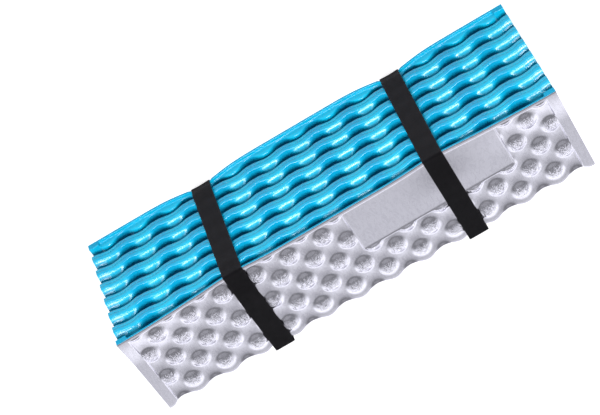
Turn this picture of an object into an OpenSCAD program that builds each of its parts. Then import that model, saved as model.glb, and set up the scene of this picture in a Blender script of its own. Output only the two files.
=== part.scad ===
// Folding foam sleeping pad, folded into its carrying bundle and held by two elastic straps.
// +X runs along the creases, +Y from the free edges to the back of the bundle, +Z up.
// The origin is on the floor, under the middle of the bundle. All sizes are in millimetres.
// Panel 1 is the lowest. Odd panels lie silver side down and even panels silver side up,
// so blue faces blue across the creases at the back, and silver faces silver at the front.

/* [Panels] */
// Length of a panel along its creases, which is the open pad's width
pad_len = 570; // [420:5:700]
// Width of the folded bundle, from the front creases to the back creases
panel_w = 131.5; // [90:0.5:200]
// Thickness of one panel from its silver face to its blue face, measured over the bumps
panel_t = 12.7; // [8:0.1:25]
// Number of panels, an even number so that both free edges are at the front
panels = 14; // [6:2:18]
// Gap between two panels that lie folded together
panel_gap = 0.6; // [0.6:0.1:3]
// Radius of a panel's outer edge beside a crease
nose_r = 5; // [2:0.5:7]
// Thickness of the silver film bonded to the foam
film_t = 0.4; // [0.2:0.05:1]

/* [Creases] */
// Radius of the thin rod of foam that is left in a crease
crease_r = 1.2; // [0.8:0.1:2.5]
// Clearance between that rod and the panels beside it
crease_clear = 0.3; // [0.3:0.05:1]
// Thickness of the neck that bonds the rod to the panel below
neck_t = 0.7; // [0.4:0.05:1]

/* [Straps] */
// Distance of each strap from the middle of the bundle, along the creases
strap_x = 130; // [60:1:190]
// Width of a strap
strap_w = 25; // [15:1:50]
// Thickness of the strap's webbing
strap_t = 1.5; // [1:0.1:3]
// Clearance between a strap and the pad, all round
strap_clear = 0.3; // [0.3:0.05:1]
// Depth of a strap's outer face below the pad's top and bottom
strap_sunk = 0.3; // [0.1:0.1:1]
// Radius inside a strap's corners
strap_bend_r = 0.6; // [0.6:0.1:2]
// Length of the lap where the two ends of a strap are sewn together
lap_len = 38; // [20:1:80]

/* [Stitching] */
// Length of one stitch across the strap
stitch_len = 3; // [2:0.5:5]
// Thickness of the thread
thread_d = 0.8; // [0.5:0.1:1.5]
// Distance between two stitches in a row, end to end
stitch_space = 1; // [0.5:0.5:3]
// Distance between the two rows at one end of the lap
row_pitch = 4; // [3:1:8]
// Distance from the lap's end to its first row
row_inset = 4; // [3:1:8]

/* [Label panel] */
// Length of the smooth label panel in the top face
label_len = 195; // [100:5:300]
// Width of the label panel
label_w = 62; // [30:1:80]
// Depth of the label panel below the bumps
label_depth = 1; // [0.5:0.1:1.5]
// Distance of the label panel's middle from the middle of the bundle, along the creases
label_x = -108; // [-110:1:110]
// Distance of the label panel from the top panel's free edge
label_inset = 4; // [2:1:10]

/* [Hidden] */
// One panel with the gap above it
pitch = panel_t + panel_gap;
// Height of the whole bundle
bundle_h = panels * pitch - panel_gap;
// How far in front of or behind the middle the crease axes and the panels' creased ends lie
axis_y = panel_w / 2 - crease_r;
end_y = axis_y - crease_r - crease_clear;
// Depth of the channel that a strap lies in
channel_depth = strap_sunk + strap_t + strap_clear;
// How far from the middle a strap's inner and outer faces lie, at the front and the back
strap_in_y = panel_w / 2 + strap_clear;
strap_out_y = strap_in_y + strap_t;
// Height of a strap's loop over its outer faces
strap_h = bundle_h - 2 * strap_sunk;
// Number of stitches in a row, and how high a stitch stands off the lap
row_stitches = floor((strap_w - 2 * stitch_space) / (stitch_len + stitch_space));
stitch_proud = thread_d / 2;
// How far a cutting shape runs past what it cuts
past = 1;
$fn = 48;

function two_digits(i) = str(i < 10 ? "0" : "", i);
function foam_name(i) = str("foam_panel_", two_digits(i));
function film_name(i) = str("film_panel_", two_digits(i));
function crease_name(i) = str("crease_", two_digits(i), "_", two_digits(i + 1));

// The outermost panels have a free front edge, and carry the straps' channels.
function outermost(i) = i == 1 || i == panels;

// Height of the plane between panel i and the panel above it
function crease_z(i) = i * pitch - panel_gap / 2;

// Stretches a profile drawn in Y and Z along X
module along_x(length) {
    rotate([90, 0, 90])
        linear_extrude(height = length, center = true)
            children();
}

// What is cut off a corner to round it. The corner points to side_y, side_z.
module corner_cut(centre, radius, side_y, side_z) {
    reach = radius + past;
    translate(centre)
        difference() {
            translate([side_y < 0 ? -reach : 0, side_z < 0 ? -reach : 0])
                square(reach);
            circle(radius);
        }
}

// Cross-section of a panel with its silver face at the bottom. What lies within inset of
// the silver face is left out: the silver face wraps round the back end of every panel.
module panel_profile(inset, free_front) {
    front_y = free_front ? -panel_w / 2 : -end_y;
    difference() {
        translate([front_y, inset])
            square([end_y - inset - front_y, panel_t - inset]);
        corner_cut([end_y - nose_r, nose_r], nose_r - inset, 1, -1);
        if (!free_front)
            corner_cut([nose_r - end_y, panel_t - nose_r], nose_r, -1, 1);
    }
}

// The part of that cross-section that the film leaves free, run past its blue face and front
module core_profile() {
    front_y = -panel_w / 2 - past;
    difference() {
        translate([front_y, film_t])
            square([end_y - film_t - front_y, panel_t - film_t + past]);
        corner_cut([end_y - nose_r, nose_r], nose_r - film_t, 1, -1);
    }
}

// What a strap's channels and the label panel take out of the silver face
module face_recesses(inset, with_label) {
    channel_w = strap_w + 2 * strap_clear + 2 * inset;
    for (side = [-1, 1])
        translate([side * strap_x - channel_w / 2, -panel_w, -past])
            cube([channel_w, 2 * panel_w, channel_depth + inset + past]);
    if (with_label)
        translate([
            label_x - label_len / 2 - inset,
            -panel_w / 2 + label_inset - inset,
            -past
        ])
            cube([label_len + 2 * inset, label_w + 2 * inset, label_depth + inset + past]);
}

// Puts a panel drawn with its silver face at z = 0 in its place in the stack
module in_stack(i) {
    turned = i % 2 == 0;
    translate([0, 0, (i - 1) * pitch + (turned ? panel_t : 0)])
        mirror([0, 0, turned ? 1 : 0])
            children();
}

module foam_panel(i) {
    color("deepskyblue")
        in_stack(i)
            difference() {
                along_x(pad_len)
                    panel_profile(film_t, outermost(i));
                if (outermost(i))
                    face_recesses(film_t, i == panels);
            }
}

module film_panel(i) {
    color("silver")
        in_stack(i)
            if (outermost(i))
                difference() {
                    along_x(pad_len)
                        panel_profile(0, true);
                    face_recesses(0, i == panels);
                    difference() {
                        along_x(pad_len + 2 * past)
                            core_profile();
                        face_recesses(film_t, i == panels);
                    }
                }
            else
                along_x(pad_len)
                    difference() {
                        panel_profile(0, false);
                        core_profile();
                    }
}

// The rod in the crease between panel i and the next, with its neck on panel i
module crease(i) {
    side = i % 2 == 1 ? 1 : -1;
    neck_len = axis_y - end_y;
    color(side > 0 ? "silver" : "deepskyblue")
        along_x(pad_len)
            union() {
                translate([side * axis_y, crease_z(i)])
                    circle(crease_r);
                translate([
                    side > 0 ? end_y : -axis_y,
                    crease_z(i) - panel_gap / 2 - neck_t
                ])
                    square([neck_len, neck_t]);
            }
}

// A rectangle with round corners, centred on the origin
module rounded_rect(width, height, radius) {
    square([width - 2 * radius, height], center = true);
    square([width, height - 2 * radius], center = true);
    for (y = [-1, 1], z = [-1, 1])
        translate([y * (width / 2 - radius), z * (height / 2 - radius)])
            circle(radius);
}

// A closed loop of webbing whose two ends lap at the back of the bundle
module strap_webbing(x) {
    color([0.06, 0.06, 0.06])
        translate([x, 0, bundle_h / 2]) {
            along_x(strap_w)
                difference() {
                    rounded_rect(2 * strap_out_y, strap_h, strap_bend_r + strap_t);
                    rounded_rect(2 * strap_in_y, strap_h - 2 * strap_t, strap_bend_r);
                }
            translate([-strap_w / 2, strap_out_y - strap_t / 2, -lap_len / 2])
                cube([strap_w, strap_t * 3 / 2, lap_len]);
        }
}

// Two rows of stitches at each end of the lap
module strap_stitching(x) {
    row_len = row_stitches * (stitch_len + stitch_space) - stitch_space;
    first_row = lap_len / 2 - row_inset;
    color([0.2, 0.2, 0.2])
        for (end = [-1, 1], row = [0, 1], s = [0:row_stitches - 1])
            translate([
                x - row_len / 2 + s * (stitch_len + stitch_space),
                strap_out_y + strap_t,
                bundle_h / 2 + end * (first_row - row * row_pitch) - thread_d / 2
            ])
                cube([stitch_len, stitch_proud, thread_d]);
}

for (i = [1:panels])
    foam_panel(i);
for (i = [1:panels])
    film_panel(i);
for (i = [1:panels - 1])
    crease(i);
strap_webbing(-strap_x);  // strap_left_webbing
strap_webbing(strap_x);  // strap_right_webbing
strap_stitching(-strap_x);  // strap_left_stitching
strap_stitching(strap_x);  // strap_right_stitching
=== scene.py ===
import math

import bpy
import numpy as np
from mathutils import Matrix, Vector


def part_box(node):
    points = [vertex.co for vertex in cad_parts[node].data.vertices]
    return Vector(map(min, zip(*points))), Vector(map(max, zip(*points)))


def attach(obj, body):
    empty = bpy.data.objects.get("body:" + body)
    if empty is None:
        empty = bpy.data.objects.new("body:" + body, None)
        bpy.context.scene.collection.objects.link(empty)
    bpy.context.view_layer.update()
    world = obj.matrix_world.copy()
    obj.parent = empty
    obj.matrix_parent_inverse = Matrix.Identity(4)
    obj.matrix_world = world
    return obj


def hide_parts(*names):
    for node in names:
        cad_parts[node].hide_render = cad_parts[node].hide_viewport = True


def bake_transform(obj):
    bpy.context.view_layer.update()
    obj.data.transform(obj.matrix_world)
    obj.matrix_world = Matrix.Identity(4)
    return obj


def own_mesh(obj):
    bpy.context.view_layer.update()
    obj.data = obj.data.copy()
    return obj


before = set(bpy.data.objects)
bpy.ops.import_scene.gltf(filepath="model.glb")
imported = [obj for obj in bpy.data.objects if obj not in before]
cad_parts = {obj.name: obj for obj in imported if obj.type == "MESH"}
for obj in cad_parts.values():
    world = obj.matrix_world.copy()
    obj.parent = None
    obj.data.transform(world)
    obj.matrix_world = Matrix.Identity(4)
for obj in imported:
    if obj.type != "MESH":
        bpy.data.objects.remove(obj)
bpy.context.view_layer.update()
MM = 0.001

# ---------------------------------------------------------------- sizes, in metres
PANELS = 14
LOW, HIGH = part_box("foam_panel_02")
PAD_LEN = HIGH.x - LOW.x
SLAB_LOW, SLAB_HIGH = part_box("film_panel_02")
SLAB_T = SLAB_HIGH.z - SLAB_LOW.z
PITCH = (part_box("foam_panel_04")[0].z - LOW.z) / 2
PANEL_GAP = PITCH - SLAB_T
PANEL_W = 2 * abs(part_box("foam_panel_01")[0].y)
FRONT_Y = -PANEL_W / 2

BUMPS = 13                       # bumps along a crease
P = PAD_LEN / BUMPS              # from one bump to the next in a row
COARSE, FINE = 16, 28            # rows of points to each bump, in the folds and on the outer panels
WAVE_H = 4.1 * MM                # from the sheet's middle to the middle of a blue ridge
RIDGE_FULL = 1.3                 # 1 is a plain wave, and more has rounder ridges
SHEET_T = 4.5 * MM               # the sheet itself, measured straight through
DOME_TOP = WAVE_H + SHEET_T / 2  # a silver bump's top, from the sheet's middle plane
DOME_FOOT = 2.0 * MM             # its foot
DIMPLE = 1.1 * MM                # the lowest place between the silver bumps
DIMPLE_SOFT = 1.2                # 1 is a plain wave, and more has a flatter start
DOME_R = 12.4 * MM               # a silver bump is round in plan
DOME_SOFT = 1.05                 # 1 is a plain cap, and more has a softer foot
BACK_RISE = 2.6 * MM             # the lowest that the silver skin lies beside a back crease
BACK_RISE_W = 18 * MM            # how far from the back it starts to rise to that
FLAT_H = 2.4 * MM                # how far the flat borders lie towards the silver side
FLOOR_DROP = 2.0 * MM            # how much nearer to the floor the lowest panel's border lies
BORDER_W = 12.4 * MM             # the flat border at each end
BORDER_WALL = 1.9 * MM           # how far a wall beside it runs
FLAT_T = 3.1 * MM                # the sheet's thickness along a free edge and under the label panel
BORDER_T = 8.8 * MM              # its thickness in the borders at the two ends
RIM_W = 3.9 * MM                 # the flat rim along a free edge
RIM_WALL = 1.4 * MM
FIRST_ROW = 20 * MM              # from a panel's front edge to its first row of bumps
CREASE_FADE = 9 * MM             # how far from a crease the wave has its whole height
CREASE_KEEP = 0.8                # how much of the wave is left at a crease
HALF = PITCH / 2                 # from a sheet's middle plane to the plane it shares with the next
SKIN = 0.02 * MM                 # half the hairline between two sheets that meet at a crease
FILM_T = 0.25 * MM
FILM_SUNK = 0.1 * MM             # how far the film's inner face lies in the foam
EDGE_ROUND = 0.3 * MM            # rounding of a free edge
EDGE_ROUND_W = 0.8 * MM

CREASE_IN = 1.25 * MM            # how far the outermost foam of a crease lies inside the panel's edge
BLUE_RECESS = 3.2 * MM           # how far a front crease's fat stretches lie behind its tight ones
SILVER_RECESS = 8.0 * MM         # and a back crease's
NOSE_BLEND = 9.0 * MM            # how long a crease takes to change from its wave to its ends
NOSE_HALF = 5.9 * MM             # half the height of the band along a crease
NOSE_REACH = 2.0 * MM            # how far its rounding runs in
NOSE_SQUARE = 2.6                # 2 is an ellipse, and more is squarer
SHOULDER = 7.0 * MM              # how far behind the band the bumps reach their height
WALL_T = 4.5 * MM                # thickness of the sheet at a crease, measured along Y
NOSE_STEPS = 10
NOSE_ZONE = 21 * MM              # the part of a panel beside a crease that has its own rows of points

WEB_IN = 0.3 * MM                # how far a crease's pressed web lies behind the foam
WEB_DEPTH = 3.0 * MM             # how far it runs in between two panels
WEB_HALF, WEB_SLIT = 0.5 * MM, 0.15 * MM

LABEL_X = (-205.5 * MM, -10.5 * MM)
LABEL_U = (PAD_LEN / 2 - LABEL_X[1], PAD_LEN / 2 - LABEL_X[0])
LABEL_V = (4.0 * MM, 66.0 * MM)
LABEL_DROP = 0.6 * MM            # how far it lies below the rim
LABEL_STEP = 0.8 * MM            # how far its own low wall runs
LABEL_WALL = 1.6 * MM            # how far the wall to the bumps runs
LABEL_ROWS = tuple(d * MM for d in (-1.0, -0.5, 0, 0.5, 1.0, 1.6))

STRAP_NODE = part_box("strap_right_webbing")
STRAP_X = (STRAP_NODE[0].x + STRAP_NODE[1].x) / 2
STRAP_W = STRAP_NODE[1].x - STRAP_NODE[0].x
STRAP_T = 1.3 * MM
STRAP_LOW, STRAP_HIGH = STRAP_NODE[0].z, STRAP_NODE[1].z
STRAP_BEND = 2.2 * MM            # radius of its middle line round a corner
STRAP_LOOP_Y = -STRAP_NODE[0].y - STRAP_T / 2
STRAP_EDGE = 0.45                # how much thinner the webbing is at its two edges
LAP_LEN = 38 * MM
LAP_ROWS = 20
LAP_SUNK = 0.1 * MM              # how far the lap's second layer lies in the first
SAG, LABEL_SAG = 0.55 * MM, 0.35 * MM
UNDER_STRAP = 2.2 * MM           # how far the bumps under a strap are pressed down
YIELD = 0.6                      # how much of that the foam's blue side gives way
STRAP_MARGIN, STRAP_FADE = 0.5 * MM, 4 * MM
CORNER_LIFT = 5.5 * MM           # how far the top panel's free corners stand up
CORNER_FROM, CORNER_RUN = 150 * MM, 130 * MM
PULL_UP, PULL_IN = 4.5 * MM, 3.5 * MM
PRESS_DOWN = 3.5 * MM            # how far a strap presses the top panel's front edge down
PULL_HALF = 34 * MM              # how far along the creases a strap's pull is felt
PULL_REACH = 48 * MM             # and how far across a panel
PULL_RISE = 22 * MM              # and how far up or down the front of the bundle


def smooth(x):
    """0 below 0, 1 above 1, and a smooth step between."""
    x = np.clip(x, 0, 1)
    return x * x * (3 - 2 * x)


# ---------------------------------------------------------------- camera
def look_from(azimuth, elevation, distance, aim):
    a, e = math.radians(azimuth), math.radians(elevation)
    way = Vector((math.sin(a) * math.cos(e), -math.cos(a) * math.cos(e), math.sin(e)))
    return aim + way * distance, way


def add_camera():
    """The camera looks down on the front of the bundle, and is rolled until it is nearly upside down."""
    azimuth, elevation, roll = -9.13, 50.35, 156.87
    distance, lens = 2.4536, 126.2
    aim = Vector((0.0355, -0.0274, 0.0928))
    place, way = look_from(azimuth, elevation, distance, aim)
    data = bpy.data.cameras.new("camera")
    data.lens, data.sensor_width = lens, 36
    data.clip_start, data.clip_end = 0.05, 50
    camera = bpy.data.objects.new("camera", data)
    camera.location = place
    turned = way.to_track_quat("Z", "Y").to_matrix() @ Matrix.Rotation(math.radians(roll), 3, "Z")
    camera.rotation_euler = turned.to_euler()
    bpy.context.scene.collection.objects.link(camera)
    bpy.context.scene.camera = camera


# ---------------------------------------------------------------- meshes
def make_object(name, points, faces, materials, flat_faces=(), numbers=None, painted=None):
    """An object from points and groups of faces. The groups in flat_faces aren't smoothed. numbers are
    stored on its points, and painted gives a group's material number where it isn't the first."""
    mesh = bpy.data.meshes.new(name)
    faces = [np.asarray(f) for f in faces]
    mesh.vertices.add(len(points))
    mesh.vertices.foreach_set("co", np.asarray(points, np.float32).ravel())
    counts = np.concatenate([np.full(len(f), f.shape[1]) for f in faces])
    mesh.loops.add(int(counts.sum()))
    mesh.loops.foreach_set("vertex_index", np.concatenate([f.ravel() for f in faces]).astype(np.int32))
    mesh.polygons.add(len(counts))
    starts = np.concatenate([[0], np.cumsum(counts)[:-1]])
    mesh.polygons.foreach_set("loop_start", starts.astype(np.int32))
    group = np.concatenate([np.full(len(f), k) for k, f in enumerate(faces)])
    mesh.polygons.foreach_set("use_smooth", ~np.isin(group, list(flat_faces)))
    mesh.update(calc_edges=True)
    mesh.validate()
    for key, values in (numbers or {}).items():
        mesh.attributes.new(key, "FLOAT", "POINT").data.foreach_set(
            "value", np.asarray(values, np.float32).ravel())
    for material in materials:
        mesh.materials.append(material)
    paint = np.zeros(len(counts), np.int32)
    for k, number in (painted or {}).items():
        paint[group == k] = number
    mesh.polygons.foreach_set("material_index", paint)
    piece = bpy.data.objects.new(name, mesh)
    bpy.context.scene.collection.objects.link(piece)
    return piece


def closed_between(top, bottom):
    """Faces of a closed solid between two grids of points, numbered one after the other.
    Both are (rows, columns, 3). Returns the points and the groups of faces: top, bottom, ends, sides."""
    rows, cols = top.shape[:2]
    points = np.concatenate([top.reshape(-1, 3), bottom.reshape(-1, 3)])
    a = np.arange(rows * cols).reshape(rows, cols)
    b = a + rows * cols

    def quads(g):
        return np.stack([g[:-1, :-1], g[:-1, 1:], g[1:, 1:], g[1:, :-1]], -1).reshape(-1, 4)

    def strip(p, q):
        return np.stack([p[:-1], p[1:], q[1:], q[:-1]], -1)

    first = strip(b[0], a[0])
    last = strip(a[-1], b[-1])
    left = strip(a[:, 0], b[:, 0])
    right = strip(b[:, -1], a[:, -1])
    return points, [quads(a), quads(b)[:, ::-1], first, last, left, right]


def outward(points, faces):
    """The same faces, turned so that the solid's volume is positive."""
    volume = 0.0
    for f in faces:
        p = points[f]
        for k in range(1, f.shape[1] - 1):
            volume += np.einsum("ij,ij->i", p[:, 0], np.cross(p[:, k], p[:, k + 1])).sum()
    return faces if volume > 0 else [f[:, ::-1] for f in faces]


# ---------------------------------------------------------------- the moulded sheet
def columns(per_bump=COARSE, finer=()):
    """Stations along a crease, from the +X end. They are closer at the borders' walls."""
    wall = BORDER_W + BORDER_WALL * np.linspace(0, 1, 5)
    extra = list(wall) + list(PAD_LEN - wall) + [0.35 * MM, PAD_LEN - 0.35 * MM]
    u = np.concatenate([np.linspace(0, PAD_LEN, BUMPS * per_bump + 1), extra, list(finer)])
    u = np.unique(np.round(u, 6))
    keep = np.concatenate([[True], np.diff(u) > 0.15 * MM])
    return u[keep]


def end_share(u):
    """1 in the flat borders at the two ends, 0 elsewhere."""
    from_end = np.minimum(u, PAD_LEN - u)
    return 1 - smooth((from_end - BORDER_W) / BORDER_WALL)


def phase(u):
    """1 beside a silver bump at the front edge, -1 halfway between two."""
    return np.cos(2 * math.pi * u / P)


def across_wave(v, cut_front):
    """The wave across a panel. At a crease it keeps most of its height, and cut_front is for the one
    panel whose front edge cuts through it."""
    wave = np.cos(2 * math.pi * (v - FIRST_ROW) / P)
    if not cut_front:
        wave = np.where(v < FIRST_ROW, 1 - (1 - CREASE_KEEP) * (1 - smooth(v / CREASE_FADE)), wave)
    return wave * (1 - (1 - CREASE_KEEP) * (1 - smooth((PANEL_W - v) / CREASE_FADE)))


def label_share(u, v):
    """1 in the smooth label panel, 0 outside it."""
    along = smooth((u - LABEL_U[0]) / LABEL_WALL + 1) * smooth((LABEL_U[1] - u) / LABEL_WALL + 1)
    return along * smooth((LABEL_V[1] - v) / LABEL_WALL + 1)


def label_floor(u, v):
    """1 on the label panel's own sunk floor, 0 outside it."""
    along = smooth((u - LABEL_U[0]) / LABEL_STEP) * smooth((LABEL_U[1] - u) / LABEL_STEP)
    return along * smooth((v - LABEL_V[0]) / LABEL_STEP) * smooth((LABEL_V[1] - v) / LABEL_STEP)


def strap_share(u):
    """1 under a strap, 0 away from it."""
    x = PAD_LEN / 2 - u
    return 1 - smooth((np.abs(np.abs(x) - STRAP_X) - STRAP_W / 2 - STRAP_MARGIN) / STRAP_FADE)


def dome_height(u, across):
    """1 on top of a silver bump and 0 at its foot, from u and the wave across the panel."""
    a = np.arccos(phase(u))
    b = np.arccos(np.clip(across, -1, 1))
    away = np.minimum(np.hypot(a, b), np.hypot(math.pi - a, math.pi - b)) * P / (2 * math.pi * DOME_R)
    return np.clip(1 - away * away, 0, 1) ** DOME_SOFT


def heights(u, v, panel):
    """Heights of the silver and the blue skin over the panel's middle plane, towards the silver side,
    and how much of the wave is there."""
    free = panel in (1, PANELS)
    flat = end_share(u) + 0 * v
    border = flat
    across = across_wave(v, panel == PANELS)
    wave = phase(u) * across
    flat_h = FLAT_H + (FLOOR_DROP if panel == 1 else 0) + 0 * flat
    if free:
        flat = np.maximum(flat, 1 - smooth((v - RIM_W) / RIM_WALL))
    if panel == PANELS:
        flat = np.maximum(flat, label_share(u, v))
        flat_h = flat_h - LABEL_DROP * label_floor(u, v)
    dimple = np.clip(-wave, 0, 1) ** DIMPLE_SOFT
    silver = DOME_FOOT + (DOME_TOP - DOME_FOOT) * dome_height(u, across) + (DIMPLE - DOME_FOOT) * dimple
    near_back = smooth((v - PANEL_W + BACK_RISE_W) / (BACK_RISE_W * 0.6))
    silver = silver + np.maximum(BACK_RISE - silver, 0) * near_back
    blue = WAVE_H * wave * (RIDGE_FULL - (RIDGE_FULL - 1) * wave * wave) - SHEET_T / 2
    silver = silver * (1 - flat) + (flat_h + FLAT_T / 2) * flat
    blue = blue * (1 - flat) + (flat_h - FLAT_T / 2) * flat - (BORDER_T - FLAT_T) * border
    if free:
        over = np.maximum(silver - SLAB_T / 2 + UNDER_STRAP, 0) * strap_share(u)
        silver = silver - over
        blue = blue - over * YIELD
    return silver, blue, wave * (1 - flat)


def nose_start(u, at_back):
    """How far behind the panel's edge the foam of a crease starts."""
    from_end = np.minimum(u, PAD_LEN - u)
    share = (1 - phase(u)) / 2 * smooth((from_end - 3 * MM) / NOSE_BLEND)
    if at_back:
        return CREASE_IN + FILM_T + SILVER_RECESS * share
    return CREASE_IN + BLUE_RECESS * share


def stations(u, panel, skin):
    """Distances from the front edge of one skin's rows of points, as (rows, columns), and for each row
    how far it has left the crease planes at the front and back, from 0 to 1."""
    free = panel in (1, PANELS)
    rise = np.linspace(0, math.pi / 2, NOSE_STEPS)
    run_in = NOSE_REACH * (1 - np.cos(rise) ** (2 / NOSE_SQUARE))
    leave = np.sin(rise) ** (2 / NOSE_SQUARE)
    outer_front, outer_back = skin == "blue", skin == "silver"
    step = P / (FINE if free else COARSE)
    start, back_start = nose_start(u, False), nose_start(u, True)
    rows, front, back = [], [], []

    def add(distance, front_share=1.0, back_share=1.0):
        rows.append(distance + 0 * u)
        front.append(front_share + 0 * u)
        back.append(back_share + 0 * u)

    if free:
        edge_rows = [d * MM for d in (0, 0.3, 0.8, 2.2, 3.4, 3.9, 4.3, 4.7, 5.3, 6.6)]
        edge_rows += list(np.arange(8.2 * MM, PANEL_W - NOSE_ZONE, step))
        if panel == PANELS:
            near = [LABEL_V[1] + d for d in LABEL_ROWS]
            edge_rows = [d for d in edge_rows if min(abs(d - n) for n in near) > 0.5 * MM] + near
        for d in sorted(edge_rows):
            add(d)
    else:
        begin = start if outer_front else start + WALL_T
        for d, share in zip(run_in, leave):
            add(begin + d, front_share=share)
        begin = begin + NOSE_REACH
        for k in range(1, 6):
            add(begin + (NOSE_ZONE - begin) * k / 6)
        for d in np.arange(NOSE_ZONE, PANEL_W - NOSE_ZONE, step):
            add(d)
    last = PANEL_W - (back_start if outer_back else back_start + WALL_T) - NOSE_REACH
    begin = PANEL_W - NOSE_ZONE
    for k in range(0, 6):
        add(begin + (last - begin) * k / 6)
    for d, share in zip(run_in[::-1], leave[::-1]):
        add(last + NOSE_REACH - d, back_share=share)
    return np.array(rows), np.array(front), np.array(back)


def strap_pull(x):
    """How much of a strap's pull on the lowest panel's front edge is felt at x."""
    return np.exp(-((np.abs(x) - STRAP_X) / PULL_HALF) ** 2)


def shaped(u, v, height, panel):
    """Points in the frame, from distances along and across a panel and heights towards its silver side."""
    free = panel in (1, PANELS)
    sign = 1 if panel % 2 == 0 else -1
    x = PAD_LEN / 2 - u + 0 * v
    y = FRONT_Y + v
    z = (panel - 1) * PITCH + SLAB_T / 2 + sign * height
    if free:
        fade = 1 - smooth(v / PULL_REACH)
        if panel == PANELS:
            z = z + CORNER_LIFT * smooth((np.abs(x) - CORNER_FROM) / CORNER_RUN) * fade
            z = z - PRESS_DOWN * strap_pull(x) * fade
        else:
            pull = strap_pull(x) * fade
            z = z + PULL_UP * pull
            y = y + PULL_IN * pull
    return np.stack([x, y, z], -1)


def shouldered(height, band, behind):
    """A skin's height over the crease plane, held down to the band at the crease and free behind it."""
    free = smooth((behind - NOSE_REACH) / SHOULDER)
    low = np.minimum(height, band)
    return low + (height - low) * free


def sheet_skins(panel, u):
    """The points of a panel's silver and blue skins, and the wave at each."""
    found = {}
    for skin in ("silver", "blue"):
        v, front, back = stations(u, panel, skin)
        uu = np.broadcast_to(u, v.shape)
        silver, blue, wave = heights(uu, v, panel)
        h = silver if skin == "silver" else blue
        plane = HALF - SKIN
        if panel not in (1, PANELS):
            band = NOSE_HALF if skin == "blue" else NOSE_HALF - WALL_T
            h = plane - shouldered(plane - h, band, v - nose_start(uu, False)) * front
        h = -plane + (plane + h) * back
        if panel in (1, PANELS):
            middle = (silver + blue) / 2
            round_edge = EDGE_ROUND * (1 - smooth(v / EDGE_ROUND_W))
            h = np.where(h > middle, h - round_edge, h + round_edge)
        found[skin] = (shaped(uu, v, h, panel), wave, uu, v)
    return found


def grid_normals(g):
    """Unit normals of a grid of points."""
    du = np.gradient(g, axis=1)
    dv = np.gradient(g, axis=0)
    n = np.cross(du, dv)
    return n / np.maximum(np.linalg.norm(n, axis=-1, keepdims=True), 1e-12)


def add_panel(panel, foam, cut, film):
    """A panel's foam, and the film on its silver side. Returns the foam."""
    number = f"{panel:02d}"
    extra = []
    if panel == PANELS:
        for edge, way in zip(LABEL_U, (-1, 1)):
            extra += [edge + way * d for d in LABEL_ROWS]
    u = columns(FINE if panel in (1, PANELS) else COARSE, extra)
    skins = sheet_skins(panel, u)
    silver, wave, uu, vv = skins["silver"]
    blue, blue_wave, _, _ = skins["blue"]
    points, faces = closed_between(silver, blue)
    faces = outward(points, faces)
    numbers = {
        "wave": np.concatenate([wave.ravel(), blue_wave.ravel()]),
        "along": np.concatenate([uu.ravel(), skins["blue"][2].ravel()]),
        "across": np.concatenate([vv.ravel(), skins["blue"][3].ravel()]),
    }
    cut_faces = {2: 1, 4: 1, 5: 1} if panel in (1, PANELS) else {4: 1, 5: 1}
    core = make_object(f"foam_{number}", points, faces, (foam, cut), (2, 3, 4, 5), numbers, cut_faces)
    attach(core, f"panel_{number}")
    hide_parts(f"foam_panel_{number}")

    normal = grid_normals(silver)
    away = silver - blue
    if (normal * away).sum() < 0:
        normal = -normal
    outer = silver + normal * FILM_T
    inner = silver - normal * FILM_SUNK
    points, faces = closed_between(outer, inner)
    faces = outward(points, faces)
    numbers = {
        "wave": np.concatenate([wave.ravel()] * 2),
        "along": np.concatenate([uu.ravel()] * 2),
        "across": np.concatenate([vv.ravel()] * 2),
    }
    skin = make_object(f"film_{number}", points, faces, (film,), (2, 3, 4, 5), numbers)
    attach(skin, f"panel_{number}")
    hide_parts(f"film_panel_{number}")
    return core


# ---------------------------------------------------------------- creases
def add_crease(below, foam, film):
    """The pressed web that joins a panel to the one above: a thin folded strip behind the tips of the
    foam, which shows where their fat stretches leave a gap."""
    at_back = below % 2 == 1
    outward_y = 1 if at_back else -1
    u = columns()
    tip = PANEL_W / 2 - nose_start(u, at_back) - WEB_IN
    plane = below * PITCH - PANEL_GAP / 2
    wall = WEB_HALF - WEB_SLIT

    def skin(outline):
        rows = []
        for depth, height in outline:
            rows.append(np.stack([PAD_LEN / 2 - u, outward_y * (tip - depth), plane + height + 0 * u], -1))
        return np.array(rows)

    outer = skin(((WEB_DEPTH, -WEB_HALF), (0, -WEB_HALF), (0, WEB_HALF), (WEB_DEPTH, WEB_HALF)))
    inner = skin(((WEB_DEPTH, -WEB_SLIT), (wall, -WEB_SLIT), (wall, WEB_SLIT), (WEB_DEPTH, WEB_SLIT)))
    points, faces = closed_between(outer, inner)
    faces = outward(points, faces)
    finishes = (film, foam) if at_back else (foam, film)
    numbers = {
        "wave": np.zeros(len(points)),
        "along": np.tile(u, 8),
        "across": np.zeros(len(points)),
    }
    name = f"crease_{below:02d}_{below + 1:02d}"
    web_name = f"web_{below:02d}_{below + 1:02d}"
    web = make_object(web_name, points, faces, finishes, range(6), numbers, {1: 1})
    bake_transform(web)
    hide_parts(name)
    return web


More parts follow.
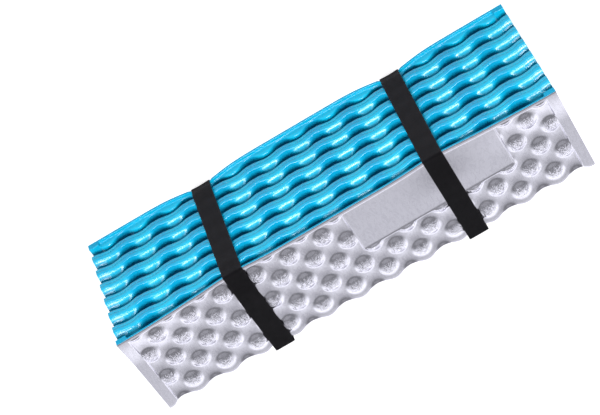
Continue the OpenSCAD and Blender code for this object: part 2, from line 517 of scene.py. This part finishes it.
# ---------------------------------------------------------------- straps
def loop_line():
    """A strap's middle line in Y and Z, once round from the middle of the back, over the top first."""
    low, high = STRAP_LOW + STRAP_T / 2, STRAP_HIGH - STRAP_T / 2
    r, side = STRAP_BEND, STRAP_LOOP_Y
    corners = ((1, 1, 0), (-1, 1, 90), (-1, -1, 180), (1, -1, 270))
    knots = [(side, (low + high) / 2)]
    for sy, sz, turn in corners:
        centre = (sy * (side - r), (high - r) if sz > 0 else (low + r))
        for step in range(7):
            a = math.radians(turn + 15 * step)
            knots.append((centre[0] + r * math.cos(a), centre[1] + r * math.sin(a)))
    knots.append(knots[0])
    line = []
    for (y0, z0), (y1, z1) in zip(knots[:-1], knots[1:]):
        gap = math.hypot(y1 - y0, z1 - z0)
        steps = max(1, round(gap / (2 * MM)))
        for k in range(steps):
            t = k / steps
            line.append((y0 + (y1 - y0) * t, z0 + (z1 - z0) * t))
    return np.array(line)


def pressed(points):
    """Strap points, moved as the strap bites into the pad: up and in at the lowest panel's free edge, and
    down between the bumps it crosses."""
    x, y, z = points[..., 0], points[..., 1], points[..., 2]
    v = np.clip(y - FRONT_Y, 0, PANEL_W)
    felt = strap_pull(x) * (1 - smooth(v / PULL_REACH))
    pull = felt * (1 - smooth(z / PULL_RISE))
    press = felt * (1 - smooth((STRAP_HIGH - z) / PULL_RISE))
    bump = phase(PAD_LEN / 2 - x) * across_wave(v, True)
    on_label = (x < 0) & (v < LABEL_V[1] + 2 * MM)
    sag = np.where(on_label, LABEL_SAG, SAG * (1 - bump) / 2)
    ends = smooth(v / (6 * MM)) * smooth((PANEL_W - v) / (6 * MM))
    top = smooth((z - STRAP_HIGH + 4 * MM) / (2 * MM))
    between = (1 + np.cos(math.pi * z / PITCH + math.pi)) / 2
    front = smooth((-y - STRAP_LOOP_Y + 2 * MM) / MM)
    y = y + PULL_IN * pull + 0.5 * MM * between * front
    z = z + PULL_UP * pull - PRESS_DOWN * press - sag * ends * top
    return np.stack([x, y, z], -1)


def closed_ring(outer, inner):
    """Like closed_between, for two skins whose last row meets their first."""
    rows, cols = outer.shape[:2]
    a = np.arange(rows * cols).reshape(rows, cols)
    b = a + rows * cols

    def ring(g, h):
        return np.stack([g, h, np.roll(h, -1, 0), np.roll(g, -1, 0)], -1).reshape(-1, 4)

    points = np.concatenate([outer.reshape(-1, 3), inner.reshape(-1, 3)])
    faces = [ring(a[:, :-1], a[:, 1:]), ring(b[:, 1:], b[:, :-1])]
    return points, faces + [ring(a[:, -1], b[:, -1]), ring(b[:, 0], a[:, 0])]


def add_strap(name, x, webbing, thread):
    """A closed loop of elastic webbing, its two sewn ends on the back of the bundle."""
    line = loop_line()
    ahead = np.roll(line, -1, 0) - np.roll(line, 1, 0)
    ahead = ahead / np.linalg.norm(ahead, axis=1, keepdims=True)
    away = np.stack([ahead[:, 1], -ahead[:, 0]], -1)
    if (away * (line - line.mean(0))).sum() < 0:
        away = -away
    across = STRAP_W / 2 * np.sin(np.linspace(-math.pi / 2, math.pi / 2, 15))
    edge = np.abs(across) / (STRAP_W / 2)
    half = STRAP_T / 2 * (1 - STRAP_EDGE * edge ** 10)

    def skin(side):
        y = line[:, :1] + side * away[:, :1] * half
        z = line[:, 1:] + side * away[:, 1:] * half
        return pressed(np.stack([x + across + 0 * y, y, z], -1))

    points, faces = closed_ring(skin(1), skin(-1))
    faces = outward(points, faces)
    rows, cols = len(line), len(across)
    length = np.concatenate([[0], np.cumsum(np.linalg.norm(np.diff(line, axis=0), axis=1))])
    along = np.tile(np.repeat(length, cols), 2)
    side_way = np.tile(across, 2 * rows)

    middle = (STRAP_LOW + STRAP_HIGH) / 2
    lap_z = middle + np.linspace(-LAP_LEN / 2, LAP_LEN / 2, LAP_ROWS)
    base = STRAP_LOOP_Y + STRAP_T / 2

    def lap_skin(y):
        one_row = np.stack([x + across, y], -1)
        rows_of = np.broadcast_to(one_row, (LAP_ROWS, cols, 2))
        high = np.broadcast_to(lap_z[:, None, None], (LAP_ROWS, cols, 1))
        return np.concatenate([rows_of, high], -1)

    lap_outer = lap_skin(base + STRAP_T / 2 + half)
    lap_inner = lap_skin(base + STRAP_T / 2 - half - LAP_SUNK)
    lap_points, lap_faces = closed_between(lap_outer, lap_inner)
    lap_faces = [f + len(points) for f in outward(lap_points, lap_faces)]
    numbers = {
        "along": np.concatenate([along, np.tile(np.repeat(lap_z, cols), 2)]),
        "across": np.concatenate([side_way, np.tile(across, 2 * LAP_ROWS)]),
    }
    points = np.concatenate([points, lap_points])
    strap = make_object(f"{name}_band", points, faces + lap_faces, (webbing,), (6, 7, 8, 9), numbers)
    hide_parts(f"{name}_webbing")

    stitches = add_stitches(f"{name}_stitches", x, base + STRAP_T, middle, thread)
    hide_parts(f"{name}_stitching")
    for piece in (strap, stitches):
        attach(piece, name)
        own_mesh(piece)


def add_stitches(name, x, y, middle, thread):
    """Two rows of stitches at each end of a strap's lap. Each stitch is an arched thread."""
    stitch, space, radius = 3 * MM, 1 * MM, 0.4 * MM
    count = int((STRAP_W - 2 * space) / (stitch + space))
    row_len = count * (stitch + space) - space
    turns, rings = 8, 9
    points, faces = [], []
    for end in (-1, 1):
        for row in (4 * MM, 8 * MM):
            for k in range(count):
                first = x - row_len / 2 + k * (stitch + space)
                z = middle + end * (LAP_LEN / 2 - row)
                at = len(points)
                for ring in range(rings):
                    t = ring / (rings - 1)
                    thick = radius * (0.35 + 0.65 * math.sin(math.pi * min(max(t, 0.04), 0.96)) ** 0.5)
                    lift = radius * (1.3 * math.sin(math.pi * t) - 0.9)
                    for turn in range(turns):
                        a = 2 * math.pi * turn / turns
                        points.append((first + stitch * t, y + lift + thick * math.cos(a),
                                       z + thick * math.sin(a)))
                for ring in range(rings - 1):
                    for turn in range(turns):
                        p, q = at + ring * turns + turn, at + ring * turns + (turn + 1) % turns
                        faces.append((p, q, q + turns, p + turns))
                cap = at + (rings - 1) * turns
                for half_cap in range(1, turns // 2):
                    o, m = half_cap, turns - half_cap
                    faces.append((at + o - 1, at + (m + 1) % turns, at + m, at + o))
                    faces.append((cap + o, cap + m, cap + (m + 1) % turns, cap + o - 1))
    points = np.array(points)
    return make_object(name, points, outward(points, [np.array(faces)]), (thread,))


# ---------------------------------------------------------------- materials
class Finish:
    """A material's node tree, with short calls for the nodes that these finishes use."""

    def __init__(self, name, color, roughness, metallic=0.0, specular=0.5):
        self.material = bpy.data.materials.new(name)
        self.material.use_nodes = True
        self.nodes, self.links = self.material.node_tree.nodes, self.material.node_tree.links
        self.shader = self.nodes["Principled BSDF"]
        self.shader.inputs["Base Color"].default_value = (*color, 1)
        self.shader.inputs["Roughness"].default_value = roughness
        self.shader.inputs["Metallic"].default_value = metallic
        self.shader.inputs["Specular IOR Level"].default_value = specular
        self.normal = None

    def set(self, socket, value):
        if isinstance(value, bpy.types.NodeSocket):
            self.links.new(value, socket)
        else:
            socket.default_value = value

    def math(self, operation, a, b=0.0):
        node = self.nodes.new("ShaderNodeMath")
        node.operation = operation
        self.set(node.inputs[0], a)
        self.set(node.inputs[1], b)
        return node.outputs[0]

    def stored(self, name):
        node = self.nodes.new("ShaderNodeAttribute")
        node.attribute_name = name
        return node.outputs["Fac"]

    def place(self, x_scale=1.0, y_scale=1.0):
        """A point from the lengths along and across the piece, in metres."""
        node = self.nodes.new("ShaderNodeCombineXYZ")
        self.set(node.inputs[0], self.math("MULTIPLY", self.stored("along"), x_scale))
        self.set(node.inputs[1], self.math("MULTIPLY", self.stored("across"), y_scale))
        return node.outputs[0]

    def noise(self, where, scale, detail=2.0, rough=0.5, distortion=0.0):
        node = self.nodes.new("ShaderNodeTexNoise")
        self.set(node.inputs["Vector"], where)
        node.inputs["Scale"].default_value = scale
        node.inputs["Detail"].default_value = detail
        node.inputs["Roughness"].default_value = rough
        node.inputs["Distortion"].default_value = distortion
        return node.outputs[0]

    def between(self, value, low, high, from_value=0.0, to_value=1.0):
        """A value from low to high, smoothly turned into one from from_value to to_value."""
        node = self.nodes.new("ShaderNodeMapRange")
        node.interpolation_type = "SMOOTHSTEP"
        for socket, number in zip(node.inputs[:5], (value, low, high, from_value, to_value)):
            self.set(socket, number)
        return node.outputs[0]

    def colors(self, share, first, second):
        node = self.nodes.new("ShaderNodeMix")
        node.data_type = "RGBA"
        self.set(node.inputs["Factor"], share)
        self.set(node.inputs[6], (*first, 1))
        self.set(node.inputs[7], (*second, 1))
        return node.outputs[2]

    def bump(self, height, distance, strength=1.0):
        """Adds a height to what is there, in metres."""
        node = self.nodes.new("ShaderNodeBump")
        node.inputs["Distance"].default_value = distance
        self.set(node.inputs["Height"], height)
        self.set(node.inputs["Strength"], strength)
        if self.normal:
            self.links.new(self.normal, node.inputs["Normal"])
        self.normal = node.outputs[0]

    def done(self, color=None, roughness=None):
        if color:
            self.links.new(color, self.shader.inputs["Base Color"])
        if roughness:
            self.links.new(roughness, self.shader.inputs["Roughness"])
        if self.normal:
            self.links.new(self.normal, self.shader.inputs["Normal"])
        return self.material


def foam_skin():
    """The glossy moulded skin of the blue foam, with fine stretch marks across the creases."""
    f = Finish("foam_skin", (0.002, 0.32, 0.52), 0.24, specular=0.34)
    patches = f.noise(f.place(), 22, 3)
    # painted shade and light: darker colour in the hollows of the blue wave, lighter on its ridges
    painted_ridge_light_and_hollow_shade = f.between(f.stored("wave"), 0.7, -0.5)
    share = f.math("ADD", f.math("MULTIPLY", patches, 0.5), f.math("MULTIPLY", painted_ridge_light_and_hollow_shade, 0.4))
    color = f.colors(share, (0.001, 0.185, 0.345), (0.002, 0.335, 0.48))
    marks = f.noise(f.place(1.0, 0.12), 650, 2, 0.6)
    f.bump(marks, 0.22 * MM)
    f.bump(f.noise(f.place(), 1500, 1), 0.06 * MM)
    rough = f.between(f.noise(f.place(), 90, 2), 0.3, 0.7, 0.22, 0.34)
    return f.done(color, rough)


def foam_cut():
    """The foam's cut ends, where its fine cells are open."""
    f = Finish("foam_cut", (0.004, 0.25, 0.47), 0.75, specular=0.2)
    node = f.nodes.new("ShaderNodeTexVoronoi")
    node.inputs["Scale"].default_value = 1800
    where = f.nodes.new("ShaderNodeTexCoord")
    f.links.new(where.outputs["Object"], node.inputs["Vector"])
    cells = node.outputs["Distance"]
    f.bump(cells, 0.25 * MM)
    # painted shade: the colour is darker in the pits of the open cells, where the bump sinks
    color = f.colors(f.between(cells, 0.1, 0.6), (0.001, 0.15, 0.30), (0.003, 0.27, 0.44))
    return f.done(color)


def film_foil():
    """Aluminised film, stretched over the bumps: creased where it is stretched most."""
    f = Finish("film_foil", (0.74, 0.735, 0.80), 0.22, metallic=0.92)
    crest = f.between(f.stored("wave"), 0.1, 0.85)
    coarse = f.noise(f.place(1.0, 0.4), 165, 3, 0.62, 0.9)
    folds = f.math("ABSOLUTE", f.math("SUBTRACT", coarse, 0.5))
    fine = f.noise(f.place(1.0, 0.2), 430, 2, 0.6, 0.3)
    f.bump(folds, 6.0 * MM, f.math("ADD", f.math("MULTIPLY", crest, 0.95), 0.006))
    f.bump(fine, 1.4 * MM, f.math("ADD", f.math("MULTIPLY", crest, 1.0), 0.004))
    rough = f.between(f.noise(f.place(), 60, 3), 0.3, 0.7, 0.16, 0.27)
    # painted shade: the colour is a little darker along the crinkle lines, in the bump's grooves
    color = f.colors(f.between(folds, 0.0, 0.06), (0.72, 0.715, 0.80), (0.78, 0.775, 0.86))
    return f.done(color, rough)


def strap_weave():
    """Black woven elastic: fine ribs along it, crossed by the weft."""
    f = Finish("strap_weave", (0.012, 0.0115, 0.014), 0.75, specular=0.15)
    ribs = f.math("SINE", f.math("MULTIPLY", f.stored("across"), 2 * math.pi / (1.3 * MM)))
    weft = f.math("SINE", f.math("MULTIPLY", f.stored("along"), 2 * math.pi / (0.9 * MM)))
    cloth = f.math("MULTIPLY", f.math("ADD", f.math("MULTIPLY", ribs, 0.6), 1.0), f.math("ADD", weft, 1.4))
    f.bump(cloth, 0.12 * MM)
    f.bump(f.noise(f.place(), 900, 3), 0.15 * MM)
    worn = f.noise(f.place(1.0, 1.0), 120, 3)
    edge = f.between(f.math("ABSOLUTE", f.stored("across")), 0.8 * STRAP_W / 2, STRAP_W / 2)
    share = f.math("ADD", f.math("MULTIPLY", worn, 0.7), f.math("MULTIPLY", edge, 0.4))
    return f.done(f.colors(share, (0.008, 0.0075, 0.0095), (0.024, 0.022, 0.027)))


def sewing_thread():
    """Black thread, a little shinier than the webbing."""
    f = Finish("sewing_thread", (0.02, 0.02, 0.022), 0.5, specular=0.4)
    where = f.nodes.new("ShaderNodeTexCoord")
    f.bump(f.noise(where.outputs["Object"], 3000, 1), 0.05 * MM)
    return f.done()


# ---------------------------------------------------------------- stage
def add_stage():
    """A pale floor that glows a little, so that it stays white under the dark part of the studio."""
    mesh = bpy.data.meshes.new("floor")
    size = 30.0
    corners = [(-size, -size, 0), (size, -size, 0), (size, size, 0), (-size, size, 0)]
    mesh.from_pydata(corners, [], [(0, 1, 2, 3)])
    f = Finish("floor_pale", (0.9, 0.9, 0.9), 0.9, specular=0.1)
    f.shader.inputs["Emission Color"].default_value = (1, 1, 1, 1)
    f.shader.inputs["Emission Strength"].default_value = 0.8
    mesh.materials.append(f.done())
    floor = bpy.data.objects.new("floor", mesh)
    bpy.context.scene.collection.objects.link(floor)


def add_area(name, place, aim, size, power, color=(1, 1, 1)):
    data = bpy.data.lights.new(name, "AREA")
    data.shape, data.size, data.size_y = "RECTANGLE", size[0], size[1]
    data.energy, data.color = power, color
    light = bpy.data.objects.new(name, data)
    light.location = place
    light.rotation_euler = (Vector(place) - Vector(aim)).to_track_quat("Z", "Y").to_euler()
    bpy.context.scene.collection.objects.link(light)
    return light


# How bright the studio is at an angle over the horizon behind the pad, in degrees. 90 is overhead, where
# it is darkest, and 180 is the horizon in front.
STUDIO = 1.32                    # how bright a brightness of 1 is
SKY = ((0, 1.1), (26, 0.98), (36, 0.76), (44, 0.57), (52, 0.51), (60, 0.40), (68, 0.26), (80, 0.16),
       (92, 0.16), (104, 0.34), (114, 0.24), (130, 0.24), (145, 0.36), (160, 0.50), (180, 0.70))


def add_lights(blue_pieces):
    """A studio whose brightness follows SKY, and a softbox over the front that lights only the foam."""
    world = bpy.data.worlds.new("studio")
    world.use_nodes = True
    nodes, links = world.node_tree.nodes, world.node_tree.links
    way = nodes.new("ShaderNodeTexCoord")
    split = nodes.new("ShaderNodeSeparateXYZ")
    angle = nodes.new("ShaderNodeMath")
    angle.operation = "ARCTAN2"
    share = nodes.new("ShaderNodeMath")
    share.operation = "DIVIDE"
    share.inputs[1].default_value = math.pi
    ramp = nodes.new("ShaderNodeValToRGB")
    links.new(way.outputs["Generated"], split.inputs[0])
    links.new(split.outputs["Z"], angle.inputs[0])
    links.new(split.outputs["Y"], angle.inputs[1])
    links.new(angle.outputs[0], share.inputs[0])
    links.new(share.outputs[0], ramp.inputs[0])
    links.new(ramp.outputs[0], nodes["Background"].inputs["Color"])
    first, last = ramp.color_ramp.elements
    first.position, last.position = 0, 1
    for degrees, _ in SKY[1:-1]:
        ramp.color_ramp.elements.new(degrees / 180)
    for element, (degrees, value) in zip(ramp.color_ramp.elements, SKY):
        element.position = degrees / 180
        element.color = (value, value, value * 1.03, 1)
    nodes["Background"].inputs["Strength"].default_value = STUDIO
    bpy.context.scene.world = world
    over = add_area("foam_softbox", (0.1, -1.05, 2.45), (0, 0, 0.1), (0.9, 0.75), 135)
    lit = bpy.data.collections.new("lit_by_foam_softbox")
    for piece in blue_pieces:
        lit.objects.link(piece)
    over.light_linking.receiver_collection = lit
    bpy.context.scene.view_settings.view_transform = "Standard"


# ---------------------------------------------------------------- build
add_camera()
skin_finish, cut_finish, foil_finish = foam_skin(), foam_cut(), film_foil()
foams = [add_panel(number, skin_finish, cut_finish, foil_finish) for number in range(1, PANELS + 1)]
webs = [add_crease(number, skin_finish, foil_finish) for number in range(1, PANELS)]
weave_finish, thread_finish = strap_weave(), sewing_thread()
add_strap("strap_left", -STRAP_X, weave_finish, thread_finish)
add_strap("strap_right", STRAP_X, weave_finish, thread_finish)
add_stage()
add_lights(foams + webs)
